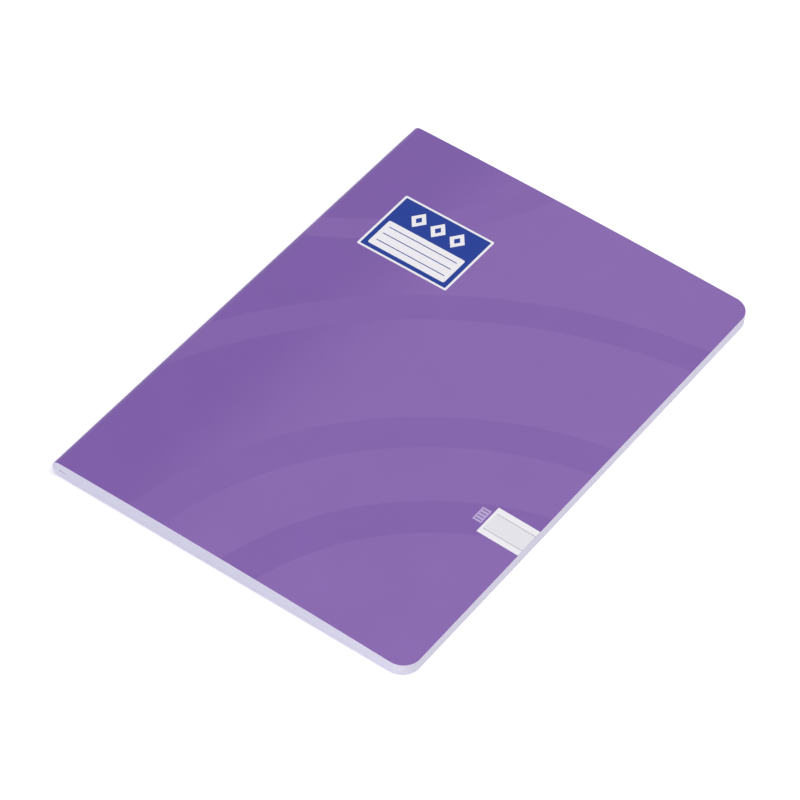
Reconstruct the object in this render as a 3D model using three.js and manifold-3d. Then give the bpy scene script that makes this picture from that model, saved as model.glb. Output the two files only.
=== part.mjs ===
import * as THREE from 'three';
import { mergeVertices } from 'three/addons/utils/BufferGeometryUtils.js';
import Module from 'manifold-3d';

const wasm = await Module();
wasm.setup();

// A stapled exercise book, closed, lying on its back cover, in millimetres.
// X runs from the spine to the fore-edge, Y from the tail to the head, Z up.

// Trimmed book
const coverWidth = 148;
const coverHeight = 210;
const cornerRadius = 7;

// Paper and card
const sheetCount = 18;
const leafThickness = 0.105;
const cardThickness = 0.28;

// Air between two leaves, pressed at the fore-edge and loose at the fold
const foreAir = 0.0142;
const foldAir = 0.0461;

// How far the cover bellies up between the spine and the fore-edge
const bellySwell = 1.3;

// Wire staples
const wireDiameter = 0.5;
const stapleCrown = 12.8;
const stapleClinch = 4.6;
const stapleBend = 0.5;
const staplePitch = 110;
const punchClearance = 0.05;
const crownSeat = 0.02;

// Clearances round the fold, where the turning leaves pass the folded ones and the wire crowns
const wireRoom = 0.1;
const hubRelief = 0.05;
const seamGap = 0.12;

// Steps of the curved forms
const foldSteps = 10;
const bellySteps = 6;
const cornerSteps = 5;
const wireSides = 8;
const wireSteps = 56;

const leafCount = 2 * sheetCount;
const tunnelHeight = wireDiameter + 2 * wireRoom;
const tunnelFade = 8;
const foreThickness = 2 * cardThickness + leafCount * (leafThickness + foreAir);
const spineThickness = 2 * cardThickness + leafCount * (leafThickness + foldAir) + tunnelHeight;
const foldRadius = spineThickness / 2;
const foldHeight = spineThickness / 2;
const foreEdge = coverWidth - foldRadius;
const hubRadius = foldRadius + crownSeat + wireDiameter + hubRelief;
const turnRadius = hubRadius + seamGap;

const cardLook = { color: 0x8768ac, roughness: 0.42, metalness: 0 };
const paperLook = { color: 0xf3f2f6, roughness: 0.85, metalness: 0 };
const wireLook = { color: 0xb9bcc0, roughness: 0.32, metalness: 0.95 };

// Thickness of the whole book at a distance from the fold
function bookThickness(x) {
  const u = x / foreEdge;
  return spineThickness + (foreThickness - spineThickness) * u * u + bellySwell * u * (1 - u);
}

// Height of the tunnel that the wire ends leave between the two middle leaves
function tunnelAt(x) {
  return tunnelHeight * (1 - x / foreEdge) ** tunnelFade;
}

// Height of a leaf's middle plane, leaves counted from the back cover
function leafHeight(leaf, x) {
  const paper = bookThickness(x) - 2 * cardThickness - tunnelAt(x);
  const lift = leaf > sheetCount ? tunnelAt(x) : 0;
  return cardThickness + ((leaf - 0.5) * paper) / leafCount + lift;
}

// The two faces of a layer as heights, the first one on the outside of the fold
function layerFaces(height, thickness, outward) {
  return {
    outer: (x) => height(x) + (outward * thickness) / 2,
    inner: (x) => height(x) - (outward * thickness) / 2,
  };
}

// Half the height of the page at a distance from the fold, rounded at the fore-edge
function halfHeight(x) {
  const over = Math.max(0, x - (foreEdge - cornerRadius));
  return coverHeight / 2 - cornerRadius + Math.sqrt(Math.max(0, cornerRadius ** 2 - over ** 2));
}

// Where a face at a height crosses a circle round the fold line
function meetCircle(radius, face) {
  let x = radius / 2;
  for (let i = 0; i < 12; i += 1) {
    x = Math.sqrt(Math.max(0, radius ** 2 - (face(x) - foldHeight) ** 2));
  }
  return x;
}

// Distances from the fold where every leaf bends alike
function pageStops() {
  const first = turnRadius + 0.5;
  const last = foreEdge - cornerRadius;
  const stops = [];
  for (let i = 0; i <= bellySteps; i += 1) {
    stops.push(first + (last - first) * (i / bellySteps) ** 1.5);
  }
  for (let i = 1; i <= cornerSteps; i += 1) {
    stops.push(last + cornerRadius * Math.sin((i / cornerSteps) * (Math.PI / 2)));
  }
  return stops;
}

// One crosswise line of a layer, with a point on each face and half its length
function station(outerX, outerZ, innerX, innerZ) {
  const half = halfHeight(Math.max(outerX, innerX));
  return { outer: [outerX, outerZ], inner: [innerX, innerZ], half };
}

// Lines along a flat half of a layer, from the fold out to the fore-edge
function pageStations(faces) {
  return pageStops().map((x) => station(x, faces.outer(x), x, faces.inner(x)));
}

// The line where a layer is cut by a circle round the fold line
function cutStation(faces, radius) {
  const outerX = meetCircle(radius, faces.outer);
  const innerX = meetCircle(radius, faces.inner);
  return station(outerX, faces.outer(outerX), innerX, faces.inner(innerX));
}

// Lines round the fold, from the back half over the spine to the front half
function foldStations(outerRadius, innerRadius) {
  const lines = [];
  for (let i = 0; i <= foldSteps; i += 1) {
    const angle = -Math.PI / 2 - (i / foldSteps) * Math.PI;
    const at = (radius) => [radius * Math.cos(angle), foldHeight + radius * Math.sin(angle)];
    lines.push(station(...at(outerRadius), ...at(innerRadius)));
  }
  return lines;
}

// A thin closed layer through crosswise lines
function layerGeometry(lines) {
  const points = [];
  for (const { outer, inner, half } of lines) {
    points.push(outer[0], -half, outer[1], outer[0], half, outer[1]);
    points.push(inner[0], half, inner[1], inner[0], -half, inner[1]);
  }
  const index = [];
  const quad = (a, b, c, d) => index.push(a, b, c, a, c, d);
  for (let i = 0; i + 1 < lines.length; i += 1) {
    for (let k = 0; k < 4; k += 1) {
      const next = (k + 1) % 4;
      quad(4 * i + k, 4 * i + 4 + k, 4 * i + 4 + next, 4 * i + next);
    }
  }
  const end = 4 * (lines.length - 1);
  quad(0, 1, 2, 3);
  quad(end + 3, end + 2, end + 1, end);
  const geometry = new THREE.BufferGeometry();
  geometry.setAttribute('position', new THREE.Float32BufferAttribute(points, 3));
  geometry.setIndex(index);
  return geometry;
}

function toSolid(geometry) {
  const bare = geometry.clone();
  bare.deleteAttribute('normal');
  bare.deleteAttribute('uv');
  const merged = mergeVertices(bare, 1e-5);
  return new wasm.Manifold(new wasm.Mesh({
    numProp: 3,
    vertProperties: new Float32Array(merged.attributes.position.array),
    triVerts: new Uint32Array(merged.index.array),
  }));
}

function fromSolid(solid) {
  const mesh = solid.getMesh();
  const geometry = new THREE.BufferGeometry();
  geometry.setAttribute('position', new THREE.BufferAttribute(mesh.vertProperties, 3));
  geometry.setIndex(new THREE.BufferAttribute(mesh.triVerts, 1));
  return geometry;
}

// Places of the staples along the spine and of each staple's two legs
const staplePlaces = [-staplePitch / 2, staplePitch / 2];
const legPlaces = staplePlaces.flatMap((y) => [y - stapleCrown / 2, y + stapleCrown / 2]);

// Punched holes for the staple legs, cut through a folded layer
function punch(geometry) {
  const side = wireDiameter + 2 * punchClearance;
  const length = foldRadius + wireDiameter;
  let solid = toSolid(geometry);
  for (const y of legPlaces) {
    const pin = new THREE.BoxGeometry(length, side, side);
    pin.translate(-length / 2, y, foldHeight);
    solid = solid.subtract(toSolid(pin));
  }
  return fromSolid(solid);
}

// The two faces of a sheet's back leaf and of its front leaf, sheets counted from the outside
function backFaces(sheet) {
  return layerFaces((x) => leafHeight(sheet, x), leafThickness, -1);
}

function frontFaces(sheet) {
  return layerFaces((x) => leafHeight(leafCount + 1 - sheet, x), leafThickness, 1);
}

const backCard = layerFaces(() => cardThickness / 2, cardThickness, -1);
const frontCard = layerFaces((x) => bookThickness(x) - cardThickness / 2, cardThickness, 1);

// One half of a layer, from where it clears the fold out to the fore-edge
function frontHalf(faces) {
  return layerGeometry([cutStation(faces, turnRadius), ...pageStations(faces)]);
}

function backHalf(faces) {
  return layerGeometry([...pageStations(faces).reverse(), cutStation(faces, turnRadius)]);
}

// The bent middle of a layer: a round fold with a short flat lip on each side
function foldedMiddle(back, front, radius, thickness) {
  return punch(layerGeometry([
    cutStation(back, hubRadius),
    ...foldStations(radius + thickness / 2, radius - thickness / 2),
    cutStation(front, hubRadius),
  ]));
}

function sheetFold(sheet) {
  const radius = foldHeight - leafHeight(sheet, 0);
  return foldedMiddle(backFaces(sheet), frontFaces(sheet), radius, leafThickness);
}

function coverSpine() {
  return foldedMiddle(backCard, frontCard, foldRadius - cardThickness / 2, cardThickness);
}

// A staple of round wire: crown on the spine, legs through it, ends clinched inwards
function staple(y) {
  const crownX = -foldRadius - crownSeat - wireDiameter / 2;
  const half = stapleCrown / 2;
  const corners = [
    [0, half - stapleClinch], [0, half], [crownX, half],
    [crownX, -half], [0, -half], [0, stapleClinch - half],
  ].map(([px, py]) => new THREE.Vector3(px, y + py, foldHeight));
  const path = new THREE.CurvePath();
  let from = corners[0];
  for (let i = 1; i + 1 < corners.length; i += 1) {
    const corner = corners[i];
    const before = corner.clone().sub(from).setLength(stapleBend);
    const after = corners[i + 1].clone().sub(corner).setLength(stapleBend);
    const enter = corner.clone().sub(before);
    const leave = corner.clone().add(after);
    path.add(new THREE.LineCurve3(from, enter));
    path.add(new THREE.QuadraticBezierCurve3(enter, corner, leave));
    from = leave;
  }
  path.add(new THREE.LineCurve3(from, corners[corners.length - 1]));
  const section = new THREE.Shape();
  for (let i = 0; i < wireSides; i += 1) {
    const angle = ((i + 0.5) / wireSides) * 2 * Math.PI;
    const point = [Math.cos(angle), Math.sin(angle)].map((v) => (v * wireDiameter) / 2);
    if (i === 0) section.moveTo(...point);
    else section.lineTo(...point);
  }
  section.closePath();
  return new THREE.ExtrudeGeometry(section, { steps: wireSteps, extrudePath: path });
}

const book = new THREE.Group();
book.position.x = -(foreEdge - foldRadius - crownSeat - wireDiameter) / 2;

function addPiece(name, geometry, look) {
  const mesh = new THREE.Mesh(geometry, new THREE.MeshStandardMaterial(look));
  mesh.name = name;
  book.add(mesh);
}

const twoDigits = (number) => String(number).padStart(2, '0');

addPiece('back_cover', backHalf(backCard), cardLook);
addPiece('cover_spine', coverSpine(), cardLook);
addPiece('front_cover', frontHalf(frontCard), cardLook);
for (let sheet = 1; sheet <= sheetCount; sheet += 1) {
  addPiece(`back_leaf_${twoDigits(sheet)}`, backHalf(backFaces(sheet)), paperLook);
  addPiece(`fold_${twoDigits(sheet)}`, sheetFold(sheet), paperLook);
  addPiece(`front_leaf_${twoDigits(sheet)}`, frontHalf(frontFaces(sheet)), paperLook);
}
staplePlaces.forEach((y, i) => addPiece(`staple_${i + 1}`, staple(y), wireLook));

export default book;
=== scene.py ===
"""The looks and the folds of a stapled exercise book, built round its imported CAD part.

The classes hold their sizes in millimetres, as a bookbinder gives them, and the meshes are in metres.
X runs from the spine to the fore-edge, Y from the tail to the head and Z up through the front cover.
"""

import logging
import math
from collections.abc import Callable, Iterable, Sequence
from dataclasses import dataclass
from enum import Enum

import bmesh
import bpy
import numpy as np
from bpy.types import ID, Material, NodeSocket, NodeTree, Object, World
from mathutils import Matrix


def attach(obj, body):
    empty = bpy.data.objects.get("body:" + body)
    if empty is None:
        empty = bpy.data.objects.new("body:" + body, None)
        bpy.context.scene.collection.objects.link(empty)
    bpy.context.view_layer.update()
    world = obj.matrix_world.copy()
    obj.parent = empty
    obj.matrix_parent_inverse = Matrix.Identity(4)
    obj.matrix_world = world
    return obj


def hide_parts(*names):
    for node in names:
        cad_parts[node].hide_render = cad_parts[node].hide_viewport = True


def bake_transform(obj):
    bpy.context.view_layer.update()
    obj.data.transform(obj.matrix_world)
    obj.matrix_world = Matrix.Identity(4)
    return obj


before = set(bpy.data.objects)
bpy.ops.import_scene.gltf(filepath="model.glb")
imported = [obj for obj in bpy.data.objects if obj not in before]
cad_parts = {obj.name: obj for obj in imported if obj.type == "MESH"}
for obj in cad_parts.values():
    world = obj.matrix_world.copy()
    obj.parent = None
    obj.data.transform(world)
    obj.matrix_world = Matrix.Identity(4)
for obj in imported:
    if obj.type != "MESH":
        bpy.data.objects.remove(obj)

LOG = logging.getLogger("exercise_book")
MM = 0.001
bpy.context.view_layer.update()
SHEET_MAP = "sheet"
TONE = "tone"

Point = tuple[float, float]
Place = tuple[float, float, float]
Height = Callable[[float], float]

# Nearly all of a noise pattern lies between these two values
NOISE_RANGE: Point = (0.3, 0.7)


class Slot(Enum):
    """The record's material slots."""

    CARD = "cover_card"
    PAPER = "paper"
    WIRE = "staple_wire"


def linear(hex_colour: str) -> tuple[float, ...]:
    """Turns an sRGB hex colour to linear light.

    Args:
        hex_colour: Six hex digits after a #.

    Returns:
        Red, green, blue and an alpha of 1.
    """
    parts = [int(hex_colour[i : i + 2], 16) / 255 for i in (1, 3, 5)]
    return (*(c / 12.92 if c <= 0.04045 else ((c + 0.055) / 1.055) ** 2.4 for c in parts), 1.0)


def empty_tree(data: Material | World) -> NodeTree:
    """Empties a material's or a world's node tree.

    Args:
        data: The material or the world.

    Returns:
        Its tree, without a node.
    """
    data.use_nodes = True
    data.node_tree.nodes.clear()
    return data.node_tree


def add_node(
    tree: NodeTree,
    kind: str,
    inputs: dict[str | int, object] | Sequence[object] = (),
    **settings: object,
) -> Sequence[NodeSocket]:
    """Adds a shader node with its settings, its fixed values and its links.

    Args:
        tree: The node tree that takes the node.
        kind: The node's type name, after "ShaderNode".
        inputs: Its inputs, in their order or by name or number. Each is a value that is set on it
            or an output that is linked to it.
        **settings: The node's own properties.

    Returns:
        The node's outputs.
    """
    node = tree.nodes.new("ShaderNode" + kind)
    for name, value in settings.items():
        setattr(node, name, value)
    for name, value in inputs.items() if isinstance(inputs, dict) else enumerate(inputs):
        if isinstance(value, NodeSocket):
            tree.links.new(value, node.inputs[name])
        else:
            node.inputs[name].default_value = value
    return node.outputs


def clouds(
    tree: NodeTree, place: NodeSocket, grain: float, spread: Point = NOISE_RANGE, detail: float = 2.0
) -> NodeSocket:
    """Adds a soft cloudy pattern of a real grain size.

    Args:
        tree: The material's tree.
        place: The coordinates, in metres.
        grain: The size of one cloud, in millimetres.
        spread: The values of its hollows and of its crests.
        detail: How much finer grain lies in it.

    Returns:
        The pattern.
    """
    settings = {"Vector": place, "Scale": 1 / (grain * MM), "Detail": detail}
    noise = add_node(tree, "TexNoise", settings)["Fac"]
    return add_node(tree, "MapRange", [noise, *NOISE_RANGE, *spread])[0]


@dataclass(frozen=True)
class Surface:
    """How a finish takes the light.

    Attributes:
        rough: Its least and its greatest roughness.
        patch: The size of the patches that differ in roughness, in millimetres.
        grain: The size of its relief's grain, in millimetres.
        relief: The relief's strength, and its depth in millimetres.
        detail: How much finer grain lies in the patches.
        ior: Its index of refraction.
        gloss: The share of its mirror reflection, 0.5 on a surface that isn't matted.
        metallic: 1 for bare metal.
    """

    rough: Point
    patch: float
    grain: float
    relief: Point
    detail: float = 2.0
    ior: float = 1.45
    gloss: float = 0.5
    metallic: float = 0.0

    def close(
        self, tree: NodeTree, place: NodeSocket, colour: str | NodeSocket, shade: NodeSocket
    ) -> None:
        """Ends a material with its shader.

        Args:
            tree: The material's tree.
            place: The coordinates, in metres.
            colour: A hex colour, or a colour output.
            shade: A pattern round 1 that makes the colour lighter and darker.
        """
        tint = linear(colour)[:3] if isinstance(colour, str) else colour
        strength, depth = self.relief
        bump = {"Strength": strength, "Distance": depth * MM, "Height": clouds(tree, place, self.grain)}
        values = {
            "Base Color": add_node(tree, "VectorMath", {0: tint, "Scale": shade}, operation="SCALE")[0],
            "Roughness": clouds(tree, place, self.patch, self.rough, self.detail),
            "Normal": add_node(tree, "Bump", bump)[0],
            "IOR": self.ior,
            "Specular IOR Level": self.gloss,
            "Metallic": self.metallic,
        }
        add_node(tree, "OutputMaterial", [add_node(tree, "BsdfPrincipled", values)[0]])


# Satin polypropylene film, laminated over the print by hot rollers. It gives the eye a soft broad
# sheen that drifts a little, and a faint orange peel. It is matted, so its gloss is low.
SATIN_FILM = Surface((0.37, 0.43), 7.0, 0.9, (0.12, 0.02), detail=4.0, ior=1.48, gloss=0.3)


@dataclass(frozen=True, kw_only=True)
class Finish:
    """A finish on the flattened sheet, of one colour with soft clouds in it.

    Attributes:
        name: The material's name.
        surface: How it takes the light.
        colour: Its colour.
        cloud: The size of the clouds, in millimetres.
        shade: What the clouds' hollows and crests make of the colour, as shares of it.
        detail: How much finer grain lies in the clouds.
    """

    name: str
    surface: Surface
    colour: str
    cloud: float
    shade: Point = (0.97, 1.0)
    detail: float = 5.0

    def build(self) -> Material:
        """Builds the material.

        Returns:
            The material, with all its nodes.
        """
        material = bpy.data.materials.new(self.name)
        tree = empty_tree(material)
        place = self._place(tree)
        self.surface.close(tree, place, self._colour(tree, place), self._shade(tree, place))
        return material

    def _place(self, tree: NodeTree) -> NodeSocket:
        """Gives a point's place on the sheet, in metres from the fold and from mid-height."""
        return add_node(tree, "UVMap", uv_map=SHEET_MAP)[0]

    def _colour(self, tree: NodeTree, place: NodeSocket) -> str | NodeSocket:
        """Gives the colour, which a printed finish draws on the sheet."""
        return self.colour

    def _shade(self, tree: NodeTree, place: NodeSocket) -> NodeSocket:
        """Gives the pattern that makes the colour lighter and darker."""
        return clouds(tree, place, self.cloud, self.shade, self.detail)


@dataclass(frozen=True)
class Sweep:
    """One broad tone-on-tone arc printed on the cover.

    Attributes:
        centre: The arc's centre, from the fold line and from mid-height, in millimetres.
        inner: The arc's inner radius.
        outer: The arc's outer radius.
        tone: Its tone, from 0 for the deep purple to 1 for the light one.
        blur: How far its edge runs out on each side.
    """

    centre: Point
    inner: float
    outer: float
    tone: float
    blur: float = 0.3

    def lay(self, tree: NodeTree, place: NodeSocket, tone: NodeSocket) -> NodeSocket:
        """Lays the arc over the tone so far.

        Args:
            tree: The material's tree.
            place: The place on the sheet.
            tone: The tone under the arc.

        Returns:
            The tone with the arc.
        """
        middle, half = (self.inner + self.outer) / 2, (self.outer - self.inner) / 2
        centre = (self.centre[0] * MM, self.centre[1] * MM, 0.0)
        radius = add_node(tree, "VectorMath", [place, centre], operation="DISTANCE")["Value"]
        off = add_node(tree, "Math", [radius, middle * MM], operation="SUBTRACT")[0]
        off = add_node(tree, "Math", [off], operation="ABSOLUTE")[0]
        edges = [off, (half + self.blur) * MM, (half - self.blur) * MM]
        weight = add_node(tree, "MapRange", edges)[0]
        return add_node(tree, "Mix", {0: weight, 2: tone, 3: self.tone}, data_type="FLOAT")[0]


@dataclass(frozen=True, kw_only=True)
class LaminatedCard(Finish):
    """Cover card, offset printed and laminated, alike on the front and on the back.

    It gives the eye a satin purple that is deeper towards the spine, with broad quiet arcs.

    Attributes:
        deep: The printed purple beside the spine.
        spine_band: Where the deep purple starts to fade and where it has gone, from the fold line.
        sweeps: The tone-on-tone arcs.
    """

    name: str = "laminated_cover_card"
    surface: Surface = SATIN_FILM
    colour: str = "#8B68B3"
    cloud: float = 26.0
    shade: Point = (0.985, 1.015)
    detail: float = 3.0
    deep: str = "#7E5BAB"
    spine_band: Point = (16.0, 62.0)
    sweeps: tuple[Sweep, ...] = (
        Sweep((178.0, -128.0), 98.0, 112.0, 0.4),
        Sweep((178.0, -128.0), 136.0, 150.0, 0.5),
        Sweep((178.0, -128.0), 196.0, 208.0, 0.45),
        Sweep((-64.0, 150.0), 122.0, 132.0, 0.6),
    )

    def _colour(self, tree: NodeTree, place: NodeSocket) -> NodeSocket:
        """Prints the purple and its arcs.

        Args:
            tree: The material's tree.
            place: The place on the sheet.

        Returns:
            The printed colour.
        """
        x, y, _ = add_node(tree, "SeparateXYZ", [place])
        across = add_node(tree, "Math", [x], operation="ABSOLUTE")[0]
        mirrored = add_node(tree, "CombineXYZ", [across, y])[0]
        start, end = self.spine_band
        fade = [across, start * MM, end * MM]
        tone = add_node(tree, "MapRange", fade, interpolation_type="SMOOTHSTEP")[0]
        for sweep in self.sweeps:
            tone = sweep.lay(tree, mirrored, tone)
        both = {0: tone, 6: linear(self.deep), 7: linear(self.colour)}
        return add_node(tree, "Mix", both, data_type="RGBA", clamp_factor=True)[2]


@dataclass(frozen=True, kw_only=True)
class PlainCard(Finish):
    """Bare sulphate board, machine finished: the cover's uncoated reverse or its cut edge.

    It gives the eye a matt white with faint clouds where its fibres lie thicker.
    """

    surface: Surface = Surface((0.78, 0.86), 1.8, 0.5, (0.25, 0.03))


@dataclass(frozen=True, kw_only=True)
class RuledPaper(Finish):
    """Uncoated wood-free writing paper, calendered and printed with pale squares.

    It gives the eye a matt cool white with fine fibre clouds and blue-grey lines.

    Attributes:
        line_colour: The ruling's colour.
        square: The pitch of the squares, in millimetres.
        line: The width of a line. A real one is 0.12 mm, drawn wider so that it shows.
        blur: How far a line's edge runs out on each side, as a share of half its width.
    """

    name: str = "ruled_writing_paper"
    surface: Surface = Surface((0.83, 0.89), 1.5, 0.4, (0.2, 0.02))
    colour: str = "#F2F1F6"
    cloud: float = 2.2
    line_colour: str = "#A9B7D8"
    square: float = 5.0
    line: float = 0.26
    blur: float = 0.25

    def _colour(self, tree: NodeTree, place: NodeSocket) -> NodeSocket:
        """Prints the squares.

        Args:
            tree: The material's tree.
            place: The place on the sheet.

        Returns:
            The ruled paper's colour.
        """
        x, y, _ = add_node(tree, "SeparateXYZ", [place])
        families = [self._rules(tree, x), self._rules(tree, y)]
        ruling = add_node(tree, "Math", families, operation="MAXIMUM")[0]
        both = {0: ruling, 6: linear(self.colour), 7: linear(self.line_colour)}
        return add_node(tree, "Mix", both, data_type="RGBA")[2]

    def _rules(self, tree: NodeTree, across: NodeSocket) -> NodeSocket:
        """Adds one family of parallel lines.

        Args:
            tree: The material's tree.
            across: The place across the lines, in metres.

        Returns:
            1 on a line and 0 beside it.
        """
        steps = add_node(tree, "Math", [across, 1 / (self.square * MM)], operation="MULTIPLY")[0]
        off = add_node(tree, "Math", [steps, 0.5], operation="PINGPONG")[0]
        half = self.line / self.square / 2
        return add_node(tree, "MapRange", [off, half * (1 + self.blur), half * (1 - self.blur)])[0]


@dataclass(frozen=True, kw_only=True)
class CutPaper(Finish):
    """The guillotined edge of the writing paper, coloured a little bluer and darker than its face as
    painted shade of the block's side faces.

    It gives the eye pale leaves that differ a little in tone, with long faint knife streaks. Its
    clouds are those streaks.

    Attributes:
        tones: The least and the greatest sum of a leaf's tone and a streak.
    """

    name: str = "cut_paper_edge_painted_shade"
    surface: Surface = Surface((0.86, 0.94), 1.2, 0.3, (0.2, 0.02))
    # Painted shade: the paper's own white, made bluer and a little darker for the shaded sides of the
    # block
    colour: str = "#E5E2F6"
    cloud: float = 9.0
    shade: Point = (0.93, 1.04)
    detail: float = 3.0
    tones: Point = (0.3, 1.7)

    def _shade(self, tree: NodeTree, place: NodeSocket) -> NodeSocket:
        """Gives each leaf its own tone and its own streaks.

        Args:
            tree: The material's tree.
            place: The place on the sheet.

        Returns:
            The pattern.
        """
        leaf = add_node(tree, "Attribute", attribute_name=TONE)["Fac"]
        knife = {"Vector": place, "W": leaf, "Scale": 1 / (self.cloud * MM), "Detail": self.detail}
        streaks = add_node(tree, "TexNoise", knife, noise_dimensions="4D")["Fac"]
        both = add_node(tree, "Math", [leaf, streaks], operation="ADD")[0]
        return add_node(tree, "MapRange", [both, *self.tones, *self.shade])[0]


@dataclass(frozen=True, kw_only=True)
class PrintedInk(Finish):
    """Offset ink on the card, under the same film.

    It gives the eye an even satin colour with the faint mottle of ink on board.
    """

    surface: Surface = SATIN_FILM
    cloud: float = 1.6
    detail: float = 4.0


@dataclass(frozen=True, kw_only=True)
class GalvanisedWire(Finish):
    """Zinc-coated steel stitching wire, drawn round.

    It gives the eye a bright grey metal, a little dull, with soft blotches in its zinc. Its relief
    is the fine marks of the drawing.
    """

    name: str = "galvanised_wire"
    surface: Surface = Surface((0.26, 0.4), 0.8, 0.12, (0.2, 0.01), detail=3.0, ior=1.5, metallic=1.0)
    colour: str = "#C4C7CB"
    cloud: float = 0.8
    shade: Point = (0.86, 1.0)
    detail: float = 3.0

    def _place(self, tree: NodeTree) -> NodeSocket:
        """Gives a point's place in space, because the wire is on no sheet."""
        return add_node(tree, "TexCoord")["Object"]


@dataclass(frozen=True)
class BookShape:
    """The book's sizes and the curves that follow from them, in millimetres from the fold line."""

    width: float = 148.0
    height: float = 210.0
    corner: float = 7.0
    sheets: int = 18
    leaf: float = 0.105
    card: float = 0.28
    # The air between two leaves at both ends, and how far the cover bellies up between them
    fore_air: float = 0.0142
    fold_air: float = 0.0461
    belly: float = 1.3
    # The staples' wire, the room on each side of its ends and the room under its crowns
    wire: float = 0.5
    wire_room: float = 0.1
    crown_seat: float = 0.02
    # How fast the wire's room closes up beside the fold, and how close a page's bends lie there
    tunnel_fade: float = 96.0
    crowding: float = 1.4

    @property
    def leaves(self) -> int:
        """Leaves in the quire, two to a sheet."""
        return 2 * self.sheets

    @property
    def tunnel(self) -> float:
        """Room that the wire ends leave between the middle leaves."""
        return self.wire + 2 * self.wire_room

    @property
    def spine_thickness(self) -> float:
        """Thickness of the closed book at its fold."""
        return 2 * self.card + self.leaves * (self.leaf + self.fold_air) + self.tunnel

    @property
    def fold_radius(self) -> float:
        """Outer radius of the spine, and the height of the fold line."""
        return self.spine_thickness / 2

    @property
    def fore_edge(self) -> float:
        """Distance from the fold line to the fore-edge."""
        return self.width - self.fold_radius

    @property
    def row_x(self) -> float:
        """Place of the fold line on the row's X axis."""
        return -(self.fore_edge - self.fold_radius - self.crown_seat - self.wire) / 2

    def thickness(self, x: float) -> float:
        """Thickness of the closed book.

        Args:
            x: The distance from the fold line.

        Returns:
            The thickness there.
        """
        u = x / self.fore_edge
        fore = 2 * self.card + self.leaves * (self.leaf + self.fore_air)
        return self.spine_thickness + (fore - self.spine_thickness) * u * u + self.belly * u * (1 - u)

    def leaf_swell(self, x: float) -> float:
        """Half of the air between two leaves, which the burr and waves of a cut leaf fill."""
        solid = 2 * self.card + self.leaves * self.leaf + self.tunnel_height(x)
        return (self.thickness(x) - solid) / self.leaves / 2

    def tunnel_height(self, x: float) -> float:
        """Height of the room between the middle leaves at a distance from the fold line."""
        return self.tunnel * max(0.0, 1 - x / self.fore_edge) ** self.tunnel_fade

    def leaf_height(self, leaf: int, x: float) -> float:
        """Height of a leaf's middle.

        Args:
            leaf: The leaf, counted from the back cover.
            x: The distance from the fold line.

        Returns:
            The height over the surface that the book lies on.
        """
        tunnel = self.tunnel_height(x)
        paper = self.thickness(x) - 2 * self.card - tunnel
        lift = tunnel if leaf > self.sheets else 0.0
        return self.card + (leaf - 0.5) * paper / self.leaves + lift

    def half_height(self, x: float) -> float:
        """Half the height of a page at a distance from the fold line, rounded at the fore-edge."""
        over = max(0.0, x - (self.fore_edge - self.corner))
        return self.height / 2 - self.corner + math.sqrt(max(0.0, self.corner**2 - over**2))

    def page_stops(self, first: float, steps: int, corner_steps: int) -> list[float]:
        """Distances from the fold line where a page bends, closer together near the fold.

        Args:
            first: The first distance.
            steps: Steps along the straight edge.
            corner_steps: Steps round the corner.

        Returns:
            The distances, from the fold out to the fore-edge.
        """
        last = self.fore_edge - self.corner
        straight = [first + (last - first) * (i / steps) ** self.crowding for i in range(steps + 1)]
        turns = [math.sin(i / corner_steps * math.pi / 2) for i in range(1, corner_steps + 1)]
        return straight + [last + self.corner * turn for turn in turns]

    def metres(self, x: float, y: float, z: float) -> Place:
        """Turns a point from the fold line, in millimetres, to the row frame in metres."""
        return ((x + self.row_x) * MM, y * MM, z * MM)


def linked(name: str, data: ID) -> Object:
    """Puts a mesh, a lamp or a camera in the scene.

    Args:
        name: The object's name.
        data: The mesh, the lamp or the camera.

    Returns:
        The object.
    """
    thing = bpy.data.objects.new(name, data)
    bpy.context.scene.collection.objects.link(thing)
    return thing


def make_piece(
    name: str,
    points: Sequence[Place],
    faces: Sequence[tuple[int, ...]],
    materials: Sequence[Material],
    sharp: float = 32.0,
) -> Object:
    """Makes a smoothly shaded object.

    Args:
        name: Its name.
        points: Its points, in metres.
        faces: Its faces.
        materials: Its materials, in the order of their slots.
        sharp: The angle from which an edge stays sharp, in degrees.

    Returns:
        The object, which rides on nothing yet.
    """
    mesh = bpy.data.meshes.new(name)
    mesh.from_pydata(points, [], faces)
    for material in materials:
        mesh.materials.append(material)
    mesh.shade_smooth()
    mesh.set_sharp_from_angle(angle=math.radians(sharp))
    return linked(name, mesh)


def lay_on_sheet(piece: Object, along: Sequence[float], tone: float = 0.5) -> None:
    """Gives a piece its place on the flattened sheet, and its tone.

    Args:
        piece: The piece.
        along: Each point's distance from the fold line along the sheet, in millimetres.
        tone: A number from 0 to 1 that shifts the shade of its cut edge.
    """
    mesh = piece.data
    corners = np.zeros(len(mesh.loops), np.int32)
    mesh.loops.foreach_get("vertex_index", corners)
    places = np.array([(a * MM, v.co.y) for a, v in zip(along, mesh.vertices)], np.float32)
    mesh.uv_layers.new(name=SHEET_MAP).data.foreach_set("uv", places[corners].ravel())
    shade = mesh.attributes.new(TONE, "FLOAT", "POINT")
    shade.data.foreach_set("value", np.full(len(mesh.vertices), tone, np.float32))


def tube_faces(rings: int, around: int) -> list[tuple[int, ...]]:
    """Joins rings of points to a closed form.

    Args:
        rings: The number of rings.
        around: The number of points in each.

    Returns:
        The faces between the rings, in their order, and then the two ends.
    """
    faces = []
    for base in range(0, (rings - 1) * around, around):
        for k in range(around):
            following = (k + 1) % around
            faces.append((base + k, base + around + k, base + around + following, base + following))
    last = (rings - 1) * around
    return [*faces, tuple(range(around)), tuple(last + k for k in reversed(range(around)))]


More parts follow.
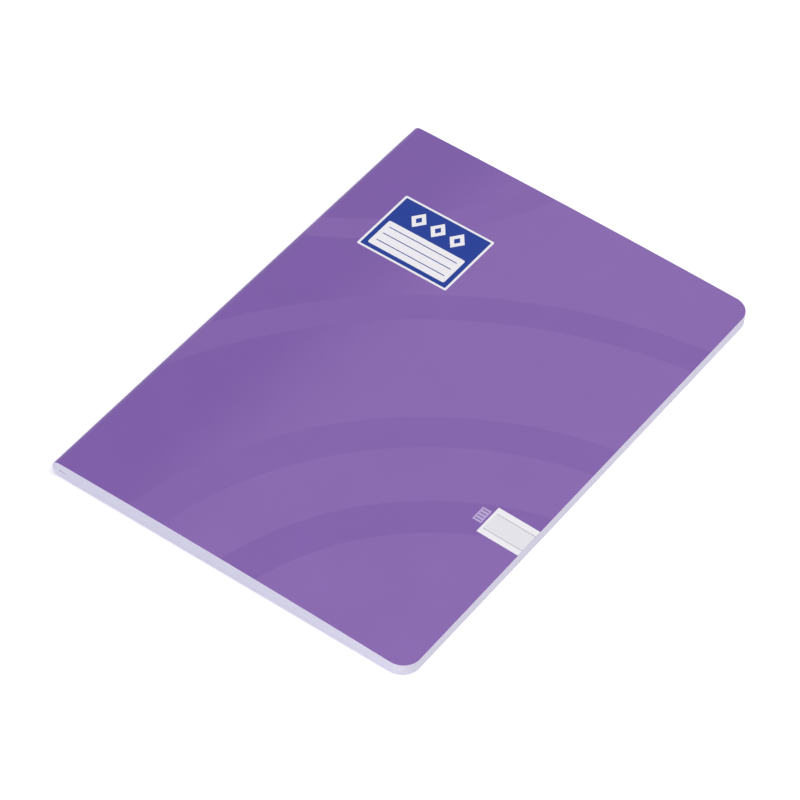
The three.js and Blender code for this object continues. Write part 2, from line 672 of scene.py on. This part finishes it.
def settle(piece: Object, body: str | None = None, node: str | None = None) -> None:
    """Gives a piece its body, hides the CAD node that it stands for, and reports it.

    Args:
        piece: The piece.
        body: The body that it rides on, if any.
        node: The CAD node that it stands for, if any.
    """
    if body:
        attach(piece, body)
    if node:
        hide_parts(node)
    LOG.info("piece: %s", piece.name)


@dataclass(frozen=True)
class Crosswise:
    """One crosswise line of a layer of paper or card.

    Attributes:
        outer: The point on the face that is outside the fold.
        inner: The point on the other face.
        half: Half the line's length.
        along: Its place on the flattened sheet, from the fold line.
    """

    outer: Point
    inner: Point
    half: float
    along: float


class Side(Enum):
    """The half of the book that a layer's flat part belongs to, with the sign of its outside."""

    BACK = -1
    FRONT = 1


class LayerFace(Enum):
    """The faces of a layer, in the order of its material slots."""

    OUTER = 0
    INNER = 1
    EDGE = 2


@dataclass
class Layer:
    """A folded layer of paper or card, from which pieces are cut and meshed.

    Attributes:
        shape: The book's sizes.
        back: Height of the back half's middle.
        front: Height of the front half's middle.
        thickness: The layer's thickness.
        swell: What is added to the thickness at a distance from the fold line.
        bevel: How much the cut edges are eased.
        tuck: How far the spine's middle draws in, so that the pleat of an open fold lies in itself.
        arc_steps: Steps round a quarter of the fold.
        guard: Where the first and the last step have one more line, as a share of a step, so that
            the shading runs on into the next piece.
    """

    shape: BookShape
    back: Height
    front: Height
    thickness: float
    swell: Height = lambda _: 0.0
    bevel: float = 0.0
    tuck: float = 0.03
    arc_steps: int = 12
    guard: float = 0.05

    @property
    def radius(self) -> float:
        """Radius of the layer's middle round the fold line."""
        return self.shape.fold_radius - self.back(0.0)

    def flat(self, side: Side, stops: Iterable[float]) -> list[Crosswise]:
        """Lines along a flat half.

        Args:
            side: The half.
            stops: Distances from the fold line.

        Returns:
            The lines, in the order of the stops.
        """
        middle = self.back if side is Side.BACK else self.front
        lines = []
        for x in stops:
            reach = side.value * (self.thickness + self.swell(x)) / 2
            outer, inner = (x, middle(x) + reach), (x, middle(x) - reach)
            along = x if side is Side.FRONT else -math.pi * self.radius - x
            lines.append(Crosswise(outer, inner, self.shape.half_height(x), along))
        return lines

    def arc(self, side: Side) -> list[Crosswise]:
        """Lines round the quarter of the fold next to a flat half, in the order of the wrap.

        Args:
            side: The half.

        Returns:
            From the bottom to the spine's middle, or from there to the top.
        """
        guard = self.guard / self.arc_steps
        shares = [0.0, guard, *(i / self.arc_steps for i in range(1, self.arc_steps)), 1 - guard, 1.0]
        start = -math.pi / 2 if side is Side.BACK else -math.pi
        reach = (self.thickness + self.swell(0.0)) / 2
        lines = []
        for share in shares:
            angle = start - share * math.pi / 2
            sunk = self.tuck * (share if side is Side.BACK else 1 - share)
            outer, inner = (
                (radius * math.cos(angle), self.shape.fold_radius + radius * math.sin(angle))
                for radius in (self.radius + reach - sunk, self.radius - reach - sunk)
            )
            along = -self.radius * (angle + 1.5 * math.pi)
            lines.append(Crosswise(outer, inner, self.shape.height / 2 - sunk, along))
        return lines

    def eased_end(self, side: Side) -> list[Crosswise]:
        """The two last lines at the fore-edge, eased by the bevel.

        Args:
            side: The half.

        Returns:
            The lines, from the fold outwards.
        """
        edge = self.shape.fore_edge
        before, last = self.flat(side, [edge - self.bevel, edge])
        (_, high), (_, low) = last.outer, last.inner
        ease = self.bevel * side.value
        return [before, Crosswise((edge, high - ease), (edge, low + ease), last.half, last.along)]

    def piece(
        self, name: str, lines: Sequence[Crosswise], materials: Sequence[Material], tone: float = 0.5
    ) -> Object:
        """Makes one closed thin piece through crosswise lines.

        Args:
            name: The piece's name.
            lines: Its lines, in the order of the wrap from the back cover round to the front.
            materials: The materials of its outer face, inner face and edges.
            tone: A number from 0 to 1 that shifts the shade of its cut edge.

        Returns:
            The piece, which rides on nothing yet.
        """
        outer, inner, edge = (face.value for face in LayerFace)
        kinds = [outer, edge, inner, edge]
        if self.bevel:
            kinds = [outer, outer, edge, edge, inner, edge, edge, outer]
        points = [self.shape.metres(*point) for line in lines for point in self._ring(line)]
        piece = make_piece(name, points, tube_faces(len(lines), len(kinds)), materials)
        lay_on_sheet(piece, [line.along for line in lines for _ in kinds], tone)
        kinds = kinds * (len(lines) - 1) + [edge, edge]
        piece.data.polygons.foreach_set("material_index", kinds)
        return piece

    def _ring(self, line: Crosswise) -> list[Place]:
        """Goes once round the layer at a crosswise line.

        Args:
            line: The line.

        Returns:
            The points, from the low end of the outer face.
        """
        outer, inner, half = np.array(line.outer), np.array(line.inner), line.half
        ring = [(outer, -half), (outer, half), (inner, half), (inner, -half)]
        if self.bevel:
            step = (inner - outer) * self.bevel / self.thickness
            near = half - self.bevel
            ring = [(outer, -near), (outer, near), (outer + step, half), (inner - step, half)]
            ring += [(inner, near), (inner, -near), (inner - step, -half), (outer + step, -half)]
        return [(float(x), y, float(z)) for (x, z), y in ring]

    def bend_back(self, piece: Object) -> None:
        """Bakes the placement of the lower quarter of the fold, between the back half and the spine,
        into its mesh.

        Args:
            piece: The quarter.
        """
        start = self.shape.metres(0.0, 0.0, self.shape.fold_radius - self.radius)
        end = self.shape.metres(-self.radius, 0.0, self.shape.fold_radius)
        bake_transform(piece)

    def bend_front(self, piece: Object) -> None:
        """Bakes the placement of the upper quarter of the fold into its mesh.

        Args:
            piece: The quarter.
        """
        start = self.shape.metres(-2 * self.radius, 0.0, self.shape.fold_radius - self.radius)
        end = self.shape.metres(0.0, 0.0, self.shape.fold_radius + self.radius)
        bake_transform(piece)


@dataclass
class Cover:
    """The card cover: back, spine and front in one folded piece of card.

    Attributes:
        shape: The book's sizes.
        seam: Where the flat back meets the bending fold, from the fold line.
        strip: The strip that bends when the front turns back, from its first line to its last.
        strip_steps: Steps across the strip.
        back_steps: Steps across the back.
        front_steps: Steps across the front, which bellies up.
        corner_steps: Steps round a corner.
        arc_steps: Steps round a quarter of the fold.
        bevel: How much the cut edge of the card is eased.
    """

    shape: BookShape
    seam: float = 0.6
    strip: Point = (1.818, 3.018)
    strip_steps: int = 16
    back_steps: int = 10
    front_steps: int = 44
    corner_steps: int = 14
    arc_steps: int = 20
    bevel: float = 0.04

    def build(self) -> None:
        """Builds and dresses the cover's five pieces."""
        shape, card = self.shape, self.shape.card
        heights = (lambda _: card / 2, lambda x: shape.thickness(x) - card / 2)
        layer = Layer(shape, *heights, card, bevel=self.bevel, arc_steps=self.arc_steps)
        first, last = self.strip
        near = [self.seam / 2, self.seam]
        strip = np.linspace(first, last, self.strip_steps + 1).tolist()
        plan = {
            "cover_back": self._panel(layer, Side.BACK, self.seam, self.back_steps)[::-1],
            "cover_spine_back": layer.flat(Side.BACK, near[::-1]) + layer.arc(Side.BACK),
            "cover_spine_front": layer.arc(Side.FRONT) + layer.flat(Side.FRONT, [*near, first]),
            "cover_hinge": layer.flat(Side.FRONT, strip),
            "cover_front": self._panel(layer, Side.FRONT, last, self.front_steps),
        }
        finishes = self._finishes()
        pieces = [layer.piece(name, lines, finishes) for name, lines in plan.items()]
        back, spine_back, spine_front, hinge, front = pieces
        layer.bend_back(spine_back)
        layer.bend_front(spine_front)
        start, end = (shape.metres(x, 0.0, shape.thickness(first)) for x in self.strip)
        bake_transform(hinge)
        settle(back, "back_half", "back_cover")
        settle(spine_back, node="cover_spine")
        settle(spine_front)
        settle(hinge)
        settle(front, "turning_cover", "front_cover")

    def _panel(self, layer: Layer, side: Side, first: float, steps: int) -> list[Crosswise]:
        """Lines across a flat panel, out to its eased edge.

        Args:
            layer: The card.
            side: The panel's half of the book.
            first: Its first line, from the fold line.
            steps: Steps to the corners.

        Returns:
            The lines, from the fold outwards.
        """
        stops = self.shape.page_stops(first, steps, self.corner_steps)[:-1]
        return layer.flat(side, stops) + layer.eased_end(side)

    @staticmethod
    def _finishes() -> list[Material]:
        """Builds the card's finishes.

        Returns:
            The materials of its outer face, its inner face and its edge.
        """
        reverse = PlainCard(name="uncoated_card_reverse", colour="#F1F0F4", cloud=5.0)
        # Painted light: the edge of the same white board is coloured pale lilac and kept light, for the
        # light bounced up from below and the lilac shading of a side face
        edge = PlainCard(name="cut_card_edge_painted_light", colour="#F1E6FD", cloud=3.0, shade=(0.94, 1.0))
        return [finish.build() for finish in (LaminatedCard(), reverse, edge)]


@dataclass
class Quire:
    """The folded sheets, nested in each other and stitched through the fold.

    Attributes:
        shape: The book's sizes.
        seam: Where the flat leaves meet the bending fold, from the fold line.
        steps: Steps across a leaf.
        corner_steps: Steps round a corner.
        seed: The seed for the leaves' tones.
    """

    shape: BookShape
    seam: float = 0.6
    steps: int = 16
    corner_steps: int = 10
    seed: int = 7

    def build(self) -> None:
        """Builds and dresses every sheet, from the outermost to the middle one."""
        paper, edge = RuledPaper().build(), CutPaper().build()
        tones = np.random.default_rng(self.seed).random(self.shape.leaves).tolist()
        for sheet in range(1, self.shape.sheets + 1):
            self._sheet(sheet, [paper, paper, edge], (tones[sheet - 1], tones[-sheet]))

    def _sheet(self, sheet: int, finishes: list[Material], tones: Point) -> None:
        """Builds one sheet as two leaves and the two bending quarters of its fold.

        Args:
            sheet: The sheet, counted from the outside.
            finishes: Its materials.
            tones: The tones of its back and front leaf.
        """
        shape, opposite = self.shape, self.shape.leaves + 1 - sheet
        heights = (lambda x: shape.leaf_height(sheet, x), lambda x: shape.leaf_height(opposite, x))
        layer = Layer(shape, *heights, shape.leaf, shape.leaf_swell)
        stops = shape.page_stops(self.seam, self.steps, self.corner_steps)
        near = [self.seam / 2, self.seam]
        plan = [
            ("page_back", layer.flat(Side.BACK, stops[::-1]), tones[0]),
            ("page_fold_back", layer.flat(Side.BACK, near[::-1]) + layer.arc(Side.BACK), tones[0]),
            ("page_fold_front", layer.arc(Side.FRONT) + layer.flat(Side.FRONT, near), tones[1]),
            ("page_front", layer.flat(Side.FRONT, stops), tones[1]),
        ]
        number = f"{sheet:02d}"
        back, fold_back, fold_front, front = (
            layer.piece(f"{name}_{number}", lines, finishes, tone) for name, lines, tone in plan
        )
        layer.bend_back(fold_back)
        layer.bend_front(fold_front)
        settle(back, "back_half", f"back_leaf_{number}")
        settle(fold_back, node=f"fold_{number}")
        settle(fold_front)
        settle(front, f"turning_leaf_{number}", f"front_leaf_{number}")


@dataclass
class Staples:
    """The two wire staples through the fold.

    Attributes:
        shape: The book's sizes.
        crown: Length of the crown, outside the spine.
        clinch: Length of each clinched end.
        pitch: Distance between the staples.
        bend: Radius of the wire's bends.
        bend_steps: Steps round a bend.
        tip: How a cut end is rounded: distances from it and the wire's width there, both as shares
            of the wire's diameter.
        sides: Sides of the wire's round section.
        sharp: The angle from which an edge stays sharp, in degrees.
    """

    shape: BookShape
    crown: float = 12.8
    clinch: float = 4.6
    pitch: float = 110.0
    bend: float = 0.5
    bend_steps: int = 8
    tip: tuple[Point, ...] = ((0.0, 0.45), (0.105, 0.8), (0.3, 1.0))
    sides: int = 16
    sharp: float = 50.0

    def build(self) -> None:
        """Builds and dresses both staples."""
        finish = GalvanisedWire().build()
        path = self._path()
        rings = [self._ring(path, i) for i in range(len(path))]
        faces = tube_faces(len(path), self.sides)
        for number, y in enumerate((-self.pitch / 2, self.pitch / 2), start=1):
            points = [self.shape.metres(x, y + along, z) for ring in rings for x, along, z in ring]
            staple = make_piece(f"wire_staple_{number}", points, faces, [finish], self.sharp)
            settle(staple, "spine_fold", f"staple_{number}")

    def _path(self) -> list[tuple[np.ndarray, float]]:
        """The wire's middle line, from one clinched end to the other.

        Returns:
            Points in millimetres from the fold line and from the staple's middle, each with the
            wire's width there as a share of its diameter.
        """
        shape, half = self.shape, self.crown / 2
        back = -shape.fold_radius - shape.crown_seat - shape.wire / 2
        corners = [(0.0, half - self.clinch), (0.0, half), (back, half), (back, 0.0)]
        points = [np.array((x, along, shape.fold_radius)) for x, along in corners]
        path = [(points[0] + (0.0, shape.wire * inwards, 0.0), share) for inwards, share in self.tip]
        for before, corner, after in zip(points, points[1:-1], points[2:]):
            enter = (before - corner) / np.linalg.norm(before - corner) * self.bend
            leave = (after - corner) / np.linalg.norm(after - corner) * self.bend
            for i in range(self.bend_steps + 1):
                angle = i / self.bend_steps * math.pi / 2
                arc = enter * (1 - math.sin(angle)) + leave * (1 - math.cos(angle))
                path.append((corner + arc, 1.0))
        return path + [(point * (1, -1, 1), share) for point, share in reversed(path)]

    def _ring(self, path: list[tuple[np.ndarray, float]], i: int) -> list[np.ndarray]:
        """Goes once round the wire at a point of its path.

        Args:
            path: The wire's middle line.
            i: The point's number.

        Returns:
            The points round the wire.
        """
        point, share = path[i]
        ahead = path[min(i + 1, len(path) - 1)][0] - path[max(i - 1, 0)][0]
        up = np.array((0.0, 0.0, 1.0))
        beside = np.cross(ahead / np.linalg.norm(ahead), up)
        angles = [2 * math.pi * k / self.sides for k in range(self.sides)]
        radius = share * self.shape.wire / 2
        return [point + (beside * math.cos(a) + up * math.sin(a)) * radius for a in angles]


class Ink(Enum):
    """The inks of the prints: each one's material name and colour."""

    BLUE = ("printed_blue", "#0A3698")
    WHITE = ("unprinted_white_under_film", "#F7F5FA")
    GREY = ("printed_tab_rule", "#B9B9C4")
    PALE = ("printed_tab_tint", "#ECECF2")
    LILAC = ("printed_lilac", "#BFA9DD")
    PURPLE = ("printed_deep_purple", "#5A3C85")


@dataclass(frozen=True)
class Patch:
    """One colour of a print: a box or a diamond, or several alike.

    Attributes:
        name: Its piece's name.
        level: Its layer of ink, counted up from the card.
        ink: Its ink.
        low: Its lowest corner, from the fold line and mid-height.
        high: Its highest corner.
        radius: Radius of its corners.
        diamond: Whether it is a diamond, which fills that box.
        shifts: How far each of its copies is shifted from there.
        corner_steps: Steps round a corner.
    """

    name: str
    level: int
    ink: Ink
    low: Point
    high: Point
    radius: float = 0.0
    diamond: bool = False
    shifts: tuple[Point, ...] = ((0.0, 0.0),)
    corner_steps: int = 6

    def outlines(self) -> list[list[Point]]:
        """Outlines its copies, anticlockwise.

        Returns:
            The points of each.
        """
        (left, bottom), (right, top), radius = self.low, self.high, self.radius
        turns = [i / self.corner_steps for i in range(self.corner_steps + 1)] if radius else [0.0]
        right_side = [(right, bottom, -1, 1), (right, top, -1, -1)]
        left_side = [(left, top, 1, -1), (left, bottom, 1, 1)]
        outline = []
        for quarter, (x, y, across, over) in enumerate(right_side + left_side):
            for turn in turns:
                angle = (quarter - 1 + turn) * math.pi / 2
                reach_x, reach_y = across + math.cos(angle), over + math.sin(angle)
                outline.append((x + radius * reach_x, y + radius * reach_y))
        if self.diamond:
            x, y = (left + right) / 2, (bottom + top) / 2
            outline = [(right, y), (x, top), (left, y), (x, bottom)]
        return [[(x + dx, y + dy) for x, y in outline] for dx, dy in self.shifts]


@dataclass
class FrontPrint:
    """The prints on the front, each colour a thin piece that follows the cover's belly.

    Attributes:
        shape: The book's sizes.
        drape_step: Spacing of the bends that let a print follow the belly.
        root: How far a print is sunk into the card, so that no gap shows.
        clear: How far the lowest ink starts over the card.
        ink: Thickness of one layer of ink. A real film is thinner.
        patches: The colours of the name plate, the index tab and the sign for the ruling.
    """

    shape: BookShape
    drape_step: float = 4.0
    root: float = 0.01
    clear: float = 0.002
    ink: float = 0.01
    patches: tuple[Patch, ...] = (
        Patch("plate_rim", 1, Ink.WHITE, (16.2, 42.5), (55.1, 73.1), 0.6),
        Patch("plate_field", 2, Ink.BLUE, (17.1, 43.4), (54.2, 72.2), 0.4),
        Patch("plate_panel", 3, Ink.WHITE, (19.0, 45.3), (52.3, 58.9), 0.8),
        Patch(
            "plate_rules", 4, Ink.BLUE, (20.8, 48.1), (50.5, 48.5), shifts=((0, 0), (0, 4.0), (0, 7.8))
        ),
        Patch(
            "plate_diamonds", 3, Ink.WHITE, (23.95, 61.1), (30.55, 69.7),
            diamond=True, shifts=((0, 0), (8.4, 0), (16.8, 0)),
        ),
        Patch(
            "plate_diamond_cores", 4, Ink.BLUE, (25.9, 63.6), (28.6, 67.2),
            diamond=True, shifts=((0, 0), (8.4, 0), (16.8, 0)),
        ),
        Patch("tab_ground", 1, Ink.WHITE, (127.65, -41.8), (144.61, -28.6)),
        Patch("tab_tint", 2, Ink.PALE, (128.65, -39.3), (144.61, -31.3)),
        Patch("tab_rules", 3, Ink.GREY, (128.65, -39.45), (144.61, -39.15), shifts=((0, 0), (0, 8.0))),
        Patch("sign_ground", 1, Ink.LILAC, (123.25, -38.1), (126.85, -31.6)),
        Patch(
            "sign_rules", 2, Ink.PURPLE, (123.75, -37.2), (126.35, -36.9),
            shifts=tuple((0, 4.4 * i / 3) for i in range(4)),
        ),
    )

    def build(self) -> None:
        """Builds and dresses every print."""
        inks = {ink: PrintedInk(name=ink.value[0], colour=ink.value[1]).build() for ink in Ink}
        for patch in self.patches:
            self._print(patch, inks[patch.ink])

    def _print(self, patch: Patch, finish: Material) -> None:
        """Lays one colour on the cover.

        Args:
            patch: The colour.
            finish: Its ink.
        """
        flat, tops, rims = self._mesh(patch)
        points = [
            self.shape.metres(x, y, self.shape.thickness(x) + lift)
            for lift in (self.clear + self.ink * patch.level, -self.root)
            for x, y in flat
        ]
        count = len(flat)
        faces = tops + [tuple(count + i for i in reversed(face)) for face in tops]
        faces += [(b, a, count + a, count + b) for a, b in rims]
        piece = make_piece(patch.name, points, faces, [finish])
        lay_on_sheet(piece, [x for x, _ in flat] * 2)
        settle(piece, "turning_cover")

    def _mesh(self, patch: Patch) -> tuple[list[Point], list[tuple[int, ...]], list[tuple[int, int]]]:
        """Fills a colour's outlines with faces and cuts them where the print bends.

        Args:
            patch: The colour.

        Returns:
            The points, the faces, and the edges on the outlines.
        """
        bm = bmesh.new()
        for outline in patch.outlines():
            bm.faces.new([bm.verts.new((x, y, 0.0)) for x, y in outline])
        xs = [v.co.x for v in bm.verts]
        first = math.ceil(min(xs) / self.drape_step) * self.drape_step
        for cut in np.arange(first, max(xs), self.drape_step):
            whole = [*bm.verts, *bm.edges, *bm.faces]
            bmesh.ops.bisect_plane(bm, geom=whole, plane_co=(cut, 0, 0), plane_no=(1, 0, 0))
        bm.verts.index_update()
        flat = [(v.co.x, v.co.y) for v in bm.verts]
        tops = [tuple(v.index for v in face.verts) for face in bm.faces]
        loops = [loop for face in bm.faces for loop in face.loops if loop.edge.is_boundary]
        rims = [(loop.vert.index, loop.link_loop_next.vert.index) for loop in loops]
        bm.free()
        return flat, tops, rims


def stand(name: str, data: ID, place: Place, axes: Sequence[Sequence[float]]) -> Object:
    """Stands a lamp or a camera in the studio.

    Args:
        name: Its name.
        data: The lamp or the camera.
        place: Its place, in metres.
        axes: Its own right, up and back.

    Returns:
        The object.
    """
    thing = linked(name, data)
    thing.matrix_world = Matrix.Translation(place) @ Matrix(np.array(axes).T.tolist()).to_4x4()
    return thing


@dataclass(frozen=True)
class Lamp:
    """A soft box.

    Attributes:
        name: The lamp's name.
        place: Its place, in metres.
        size: Its side, in metres.
        power: Its power, in watts.
        mirrored: Whether it shows in glossy surfaces. A low lamp would bleach the cover there.
    """

    name: str
    place: Place
    size: float
    power: float
    mirrored: bool = True


@dataclass
class Studio:
    """The pale floor, the soft light and the camera. Its sizes are in metres.

    Attributes:
        sky: The even light's strength.
        floor: The floor's colour.
        floor_reach: How far the floor reaches to each side.
        floor_drop: How far it lies below the book, so that they don't share a plane.
        floor_glow: What is added to the floor where it is seen, to make it plain white.
        glow_reach: The distances from the book at which these two values hold.
        lamps: The soft boxes.
        eye: The camera's place.
        right: The camera's right.
        up: The camera's up.
        forward: The way that it looks.
        lens: Its focal length, in millimetres.
        sensor: The width of its sensor, in millimetres.
        clip: The nearest and the furthest that it sees.
    """

    sky: float = 0.6
    floor: str = "#EFEFEF"
    floor_reach: float = 6.0
    floor_drop: float = 0.00002
    floor_glow: Point = (0.36, 0.56)
    glow_reach: Point = (0.3, 1.2)
    lamps: tuple[Lamp, ...] = (
        Lamp("key_softbox", (0.9, 0.5, 1.6), 1.6, 12.0),
        Lamp("front_softbox", (-0.3, -1.85, 0.5), 1.4, 14.0, mirrored=False),
    )
    eye: Place = (0.515449, -0.799514, 1.01615)
    right: Place = (0.81067029, 0.58378124, 0.04486807)
    up: Place = (-0.45262817, 0.57624284, 0.68049388)
    forward: Place = (-0.37140466, 0.57196473, -0.73137879)
    lens: float = 180.667
    sensor: float = 36.0
    clip: Point = (0.05, 20.0)

    def build(self) -> None:
        """Builds the floor, the world, the lamps and the camera."""
        self._floor()
        self._world()
        for lamp in self.lamps:
            self._lamp(lamp)
        self._camera()
        bpy.context.scene.view_settings.view_transform = "Standard"

    @staticmethod
    def _seen(tree: NodeTree) -> NodeSocket:
        """Tells the rays that see the white background from those that light the object.

        Args:
            tree: The material's or the world's tree.

        Returns:
            1 for camera, glossy and transmission rays, and 0 for the rest.
        """
        rays = add_node(tree, "LightPath")
        seen = rays["Is Camera Ray"]
        for kind in ("Is Glossy Ray", "Is Transmission Ray"):
            seen = add_node(tree, "Math", [seen, rays[kind]], operation="MAXIMUM")[0]
        return seen

    def _floor(self) -> None:
        """Makes the white floor, which shows only the object's soft shadow."""
        material = bpy.data.materials.new("white_studio_floor")
        tree = empty_tree(material)
        matt = add_node(tree, "BsdfDiffuse", [linear(self.floor)])[0]
        place = add_node(tree, "TexCoord")["Object"]
        away = add_node(tree, "VectorMath", [place], operation="LENGTH")["Value"]
        glow = add_node(tree, "MapRange", [away, *self.glow_reach, *self.floor_glow])[0]
        strength = add_node(tree, "Math", [self._seen(tree), glow], operation="MULTIPLY")[0]
        white = add_node(tree, "Emission", {"Strength": strength})[0]
        add_node(tree, "OutputMaterial", [add_node(tree, "AddShader", [matt, white])[0]])
        low, high = -self.floor_reach, self.floor_reach
        corners = ((low, low), (high, low), (high, high), (low, high))
        points = [(x, y, -self.floor_drop) for x, y in corners]
        make_piece("studio_floor", points, [(0, 1, 2, 3)], [material])

    def _world(self) -> None:
        """Makes the sky: an even light, and plain white where it is seen."""
        world = bpy.data.worlds.new("studio")
        bpy.context.scene.world = world
        tree = empty_tree(world)
        light, white = (
            add_node(tree, "Background", [(1, 1, 1, 1), strength])[0] for strength in (self.sky, 1.0)
        )
        mixed = add_node(tree, "MixShader", [self._seen(tree), light, white])[0]
        add_node(tree, "OutputWorld", [mixed])

    @staticmethod
    def _lamp(lamp: Lamp) -> None:
        """Hangs a soft box that faces the book.

        Args:
            lamp: The soft box.
        """
        data = bpy.data.lights.new(lamp.name, "AREA")
        data.shape, data.size, data.energy = "SQUARE", lamp.size, lamp.power
        back = np.array(lamp.place) / np.linalg.norm(lamp.place)
        side = np.cross((0.0, 0.0, 1.0), back)
        side = side / np.linalg.norm(side)
        hung = stand(lamp.name, data, lamp.place, [side, np.cross(back, side), back])
        hung.visible_glossy = lamp.mirrored

    def _camera(self) -> None:
        """Sets the camera at the photograph's viewing angle."""
        data = bpy.data.cameras.new("camera")
        data.lens, data.sensor_width = self.lens, self.sensor
        data.clip_start, data.clip_end = self.clip
        back = -np.array(self.forward)
        bpy.context.scene.camera = stand("camera", data, self.eye, [self.right, self.up, back])


def main() -> None:
    """Builds the book and its studio."""
    logging.basicConfig(level=logging.INFO, format="%(name)s: %(message)s")
    shape = BookShape()
    for part in (Cover(shape), Quire(shape), Staples(shape), FrontPrint(shape), Studio()):
        LOG.info("building: %s", type(part).__name__)
        part.build()
    bpy.context.view_layer.update()


if __name__ == "__main__":
    main()
